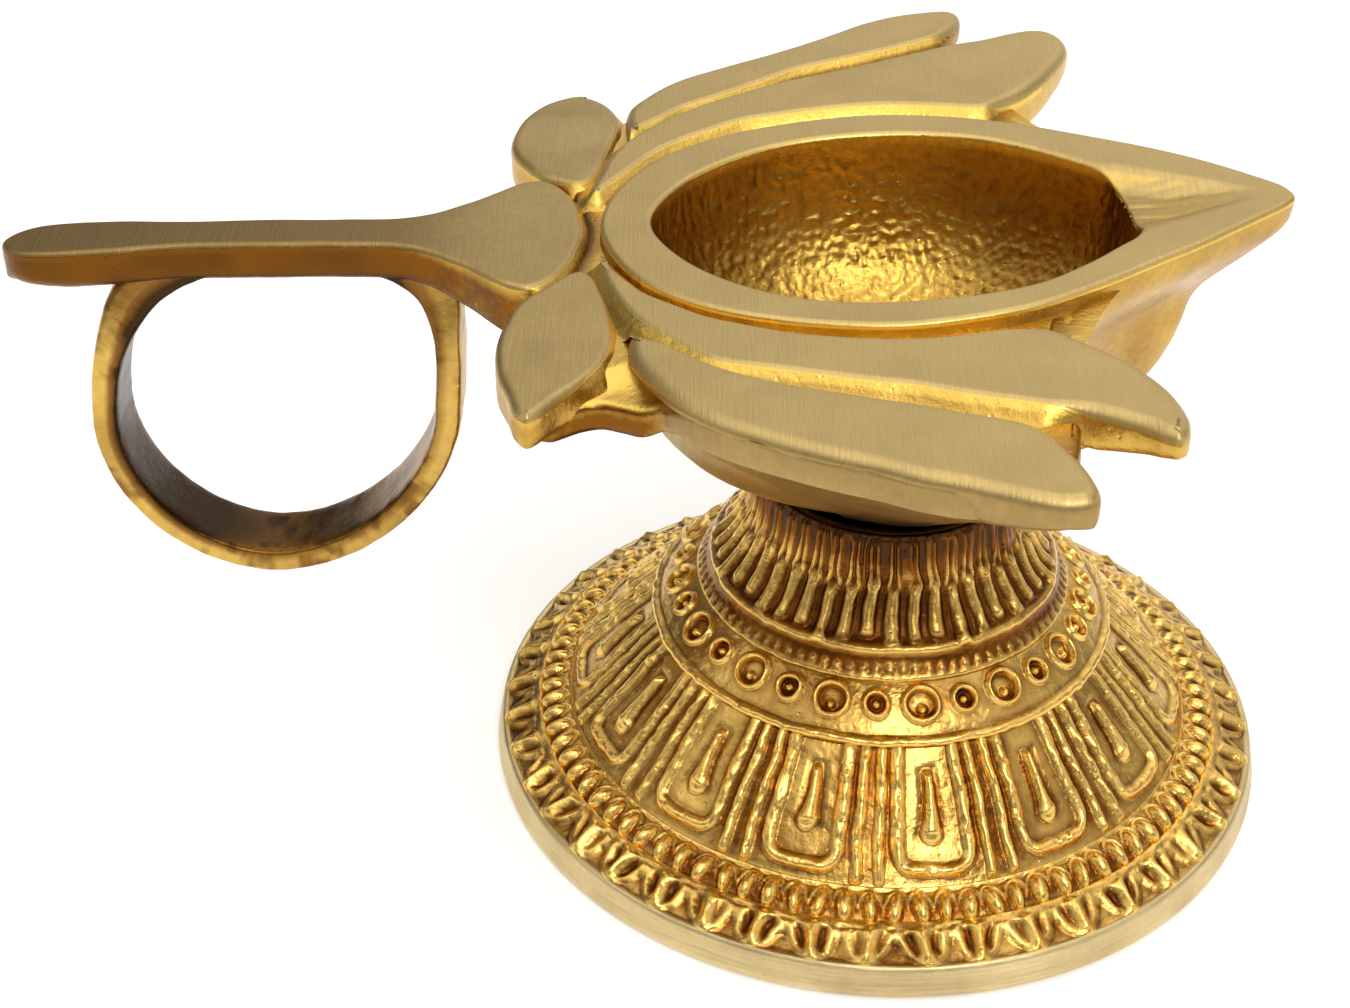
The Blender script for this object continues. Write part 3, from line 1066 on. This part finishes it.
# %% Both brasses
def brass(name, cast, deep, ground_colour, ground_rough, cast_rough, spacing):
    """Ground and cast brass in one material, mixed by the vertex value ground, and darkened by hollow."""
    material, tree, shader = new_material(name)
    place = add(tree, "ShaderNodeTexCoord").outputs["Object"]
    skin = add(tree, "ShaderNodeGroup", node_tree=skin_tree)
    brushed = add(tree, "ShaderNodeGroup", node_tree=line_tree)
    for group in (skin, brushed):
        tree.links.new(place, group.inputs["Vector"])
    brushed.inputs["Spacing"].default_value = spacing
    height, mottle, lines = skin.outputs["Height"], skin.outputs["Mottle"], brushed.outputs["Lines"]
    ground, hollow = (add(tree, "ShaderNodeAttribute", attribute_name=key).outputs["Fac"]
                      for key in ("ground", "hollow"))

    ragged = times(tree, calculate(tree, "SUBTRACT", height, 0.5), 0.3)
    ground = remap(tree, plus(tree, ground, ragged), 0.25, 0.75)
    dark = remap(tree, plus(tree, hollow, ragged), 0.25, 0.95)
    warm = mix_colour(tree, mottle, ground_colour, [0.86 * v for v in ground_colour])
    pale = mix_colour(tree, times(tree, lines, 0.35), warm, [0.62 * v for v in ground_colour])
    stained = [v * w for v, w in zip(ground_colour, (0.36, 0.31, 0.26))]
    aged = mix_colour(tree, times(tree, dark, 0.85), pale, stained)
    colour = mix_colour(tree, ground, mix_colour(tree, dark, cast, deep), aged)
    colour = mix_colour(tree, remap(tree, hollow, 1.0, 1.45, 0, 0.92), colour, SOOT)
    tree.links.new(colour, shader.inputs["Base Color"])

    not_ground = calculate(tree, "SUBTRACT", 1.0, ground)
    cast_part = times(tree, remap(tree, mottle, 0, 1, cast_rough - 0.06, cast_rough + 0.08), not_ground)
    ground_part = times(tree, remap(tree, lines, 0, 1, ground_rough - 0.08, ground_rough + 0.08), ground)
    tree.links.new(plus(tree, cast_part, ground_part), shader.inputs["Roughness"])
    relief = plus(tree, times(tree, height, not_ground), times(tree, lines, times(tree, ground, 0.25)))
    bumps = add(tree, "ShaderNodeBump", {"Height": relief, "Strength": 0.5, "Distance": 0.00018})
    tree.links.new(bumps.outputs["Normal"], shader.inputs["Normal"])
    shader.inputs["Metallic"].default_value = 1.0
    return material


SOOT = (0.035, 0.02, 0.01)
lamp_brass = brass("lamp_brass", cast=(0.82, 0.53, 0.11), deep=(0.20, 0.074, 0.008),
                   ground_colour=(0.675, 0.49, 0.195), ground_rough=0.42, cast_rough=0.27,
                   spacing=(5200, 260, 260))
foot_brass = brass("foot_brass", cast=(0.90, 0.58, 0.15), deep=(0.20, 0.066, 0.008),
                   ground_colour=(0.88, 0.70, 0.36), ground_rough=0.40, cast_rough=0.18,
                   spacing=(260, 260, 5200))

# %% Zinc-plated steel for the fixings
zinc, tree, shader = new_material("zinc_plate")
place = add(tree, "ShaderNodeTexCoord").outputs["Object"]
spangle = add(tree, "ShaderNodeTexNoise", {"Vector": place, "Scale": 700.0, "Detail": 4.0}).outputs["Fac"]
plated = mix_colour(tree, spangle, (0.46, 0.47, 0.48), (0.66, 0.66, 0.65))
tree.links.new(plated, shader.inputs["Base Color"])
tree.links.new(remap(tree, spangle, 0.3, 0.7, 0.28, 0.5), shader.inputs["Roughness"])
shader.inputs["Metallic"].default_value = 1.0

# %% Each piece takes the finish of its slot
FINISHES = {"brushed_brass": lamp_brass, "cast_brass": foot_brass, "fixings": zinc}
finished = [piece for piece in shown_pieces() if "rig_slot" in piece]
for piece in finished:
    piece.data.materials.append(FINISHES[piece["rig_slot"]])
print(len(finished), "pieces finished")

# %% [markdown]
# ## Camera, floor and light
# The camera stands where the photographer stood. Its place was worked out from the foot's circles and the
# mirror pairs of petals. Polished metal shows the room more than it shows a lamp, so the light is a
# grey dome with soft windows in it: flat tops mirror the one behind, and rounded edges the one above.
# One small lamp adds crisp glints and a shadow.

# %% The camera
CAMERA_FROM_AXIS = (-17.83, -150.92, 124.85)
CAMERA_YAW = 0.00231
CAMERA_DOWN = 0.59136
CAMERA_ROLL = -0.00313
LENS = 58.47


def standing(made, right, up, back, position):
    """Links an object to the scene and stands it at a position, looking against the direction back."""
    rows = np.eye(4)
    rows[:3] = np.stack([right, up, back, position], axis=1)
    made.matrix_world = Matrix(rows.tolist())
    bpy.context.scene.collection.objects.link(made)
    print(made.name, "at", np.round(position, 3).tolist())
    return made


level_forward = np.array([math.sin(CAMERA_YAW), math.cos(CAMERA_YAW), 0])
forward = level_forward * math.cos(CAMERA_DOWN) - [0, 0, math.sin(CAMERA_DOWN)]
right = np.array([math.cos(CAMERA_YAW), -math.sin(CAMERA_YAW), 0])
down = np.cross(forward, right)
c, s = math.cos(CAMERA_ROLL), math.sin(CAMERA_ROLL)
camera = standing(bpy.data.objects.new("camera", bpy.data.cameras.new("camera")), c * right + s * down,
                  s * right - c * down, -forward, (np.array(CAMERA_FROM_AXIS) + [AXIS_X, 0, 0]) * MM)
camera.data.lens = LENS
camera.data.sensor_width = 36
camera.data.clip_start = 0.005
bpy.context.scene.camera = camera

# %% The floor: plain paper, brightened a little for the camera and for what mirrors it
FLOOR_DROP = 0.0002
PAPER_GLOW = 0.34
bpy.ops.mesh.primitive_plane_add(size=6, location=(0, 0, -FLOOR_DROP))
floor = bpy.context.object
floor.name = "floor"
paper, tree, shader = new_material("paper")
shader.inputs["Base Color"].default_value = (0.84, 0.84, 0.83, 1)
shader.inputs["Roughness"].default_value = 0.9
shader.inputs["Specular IOR Level"].default_value = 0.1
shader.inputs["Emission Color"].default_value = (1, 0.995, 0.985, 1)
path = add(tree, "ShaderNodeLightPath").outputs
seen = calculate(tree, "MAXIMUM", path["Is Camera Ray"], path["Is Glossy Ray"])
seen = calculate(tree, "MAXIMUM", seen, path["Is Transmission Ray"])
tree.links.new(times(tree, seen, PAPER_GLOW), shader.inputs["Emission Strength"])
floor.data.materials.append(paper)

# %% The room: a dim grey dome with five soft windows
DOME = 0.18
WINDOWS = [
    # azimuth and elevation of the middle, angle where it begins to fade and where it ends, strength
    (0, 44, 8, 32, 1.15), (180, 86, 18, 50, 1.3), (72, 24, 8, 34, 0.7), (156, 28, 16, 48, 0.6),
    (-80, 38, 8, 34, 0.7)]
room = bpy.data.worlds.new("room")
bpy.context.scene.world = room
room.use_nodes = True
tree = room.node_tree
direction = add(tree, "ShaderNodeTexCoord").outputs["Generated"]


def window(azimuth, elevation, inner, outer, strength):
    """A soft bright patch of the dome: full up to the inner angle from its middle, and nothing past the
    outer one. Azimuth 0 is where the camera stands, and 90 is towards the spout."""
    a, e = math.radians(azimuth), math.radians(elevation)
    middle = (math.sin(a) * math.cos(e), -math.cos(a) * math.cos(e), math.sin(e))
    facing = add(tree, "ShaderNodeVectorMath", {0: direction, 1: middle}, operation="DOT_PRODUCT")
    return remap(tree, facing.outputs["Value"], math.cos(math.radians(outer)), math.cos(math.radians(inner)),
                 0.0, strength, "SMOOTHSTEP")


glow = DOME
for place in WINDOWS:
    glow = plus(tree, glow, window(*place))
background = tree.nodes["Background"]
tree.links.new(glow, background.inputs["Strength"])
background.inputs["Color"].default_value = (1, 0.985, 0.96, 1)
bpy.context.scene.view_settings.view_transform = "Standard"

# %% One small lamp for crisp glints and a shadow
LAMP_PLACE = np.array([0.16, -0.52, 0.62])
LAMP_AIM = np.array([0, 0, 0.03])
LAMP_SIZE = 0.18
LAMP_POWER = 1.5

light = bpy.data.lights.new("key_lamp", "AREA")
light.shape = "RECTANGLE"
light.size = LAMP_SIZE
light.size_y = LAMP_SIZE
light.energy = LAMP_POWER
away = unit(LAMP_PLACE - LAMP_AIM)
side_on = unit(np.cross([0, 0, 1], away))
standing(bpy.data.objects.new("key_lamp", light), side_on, np.cross(away, side_on), away, LAMP_PLACE)
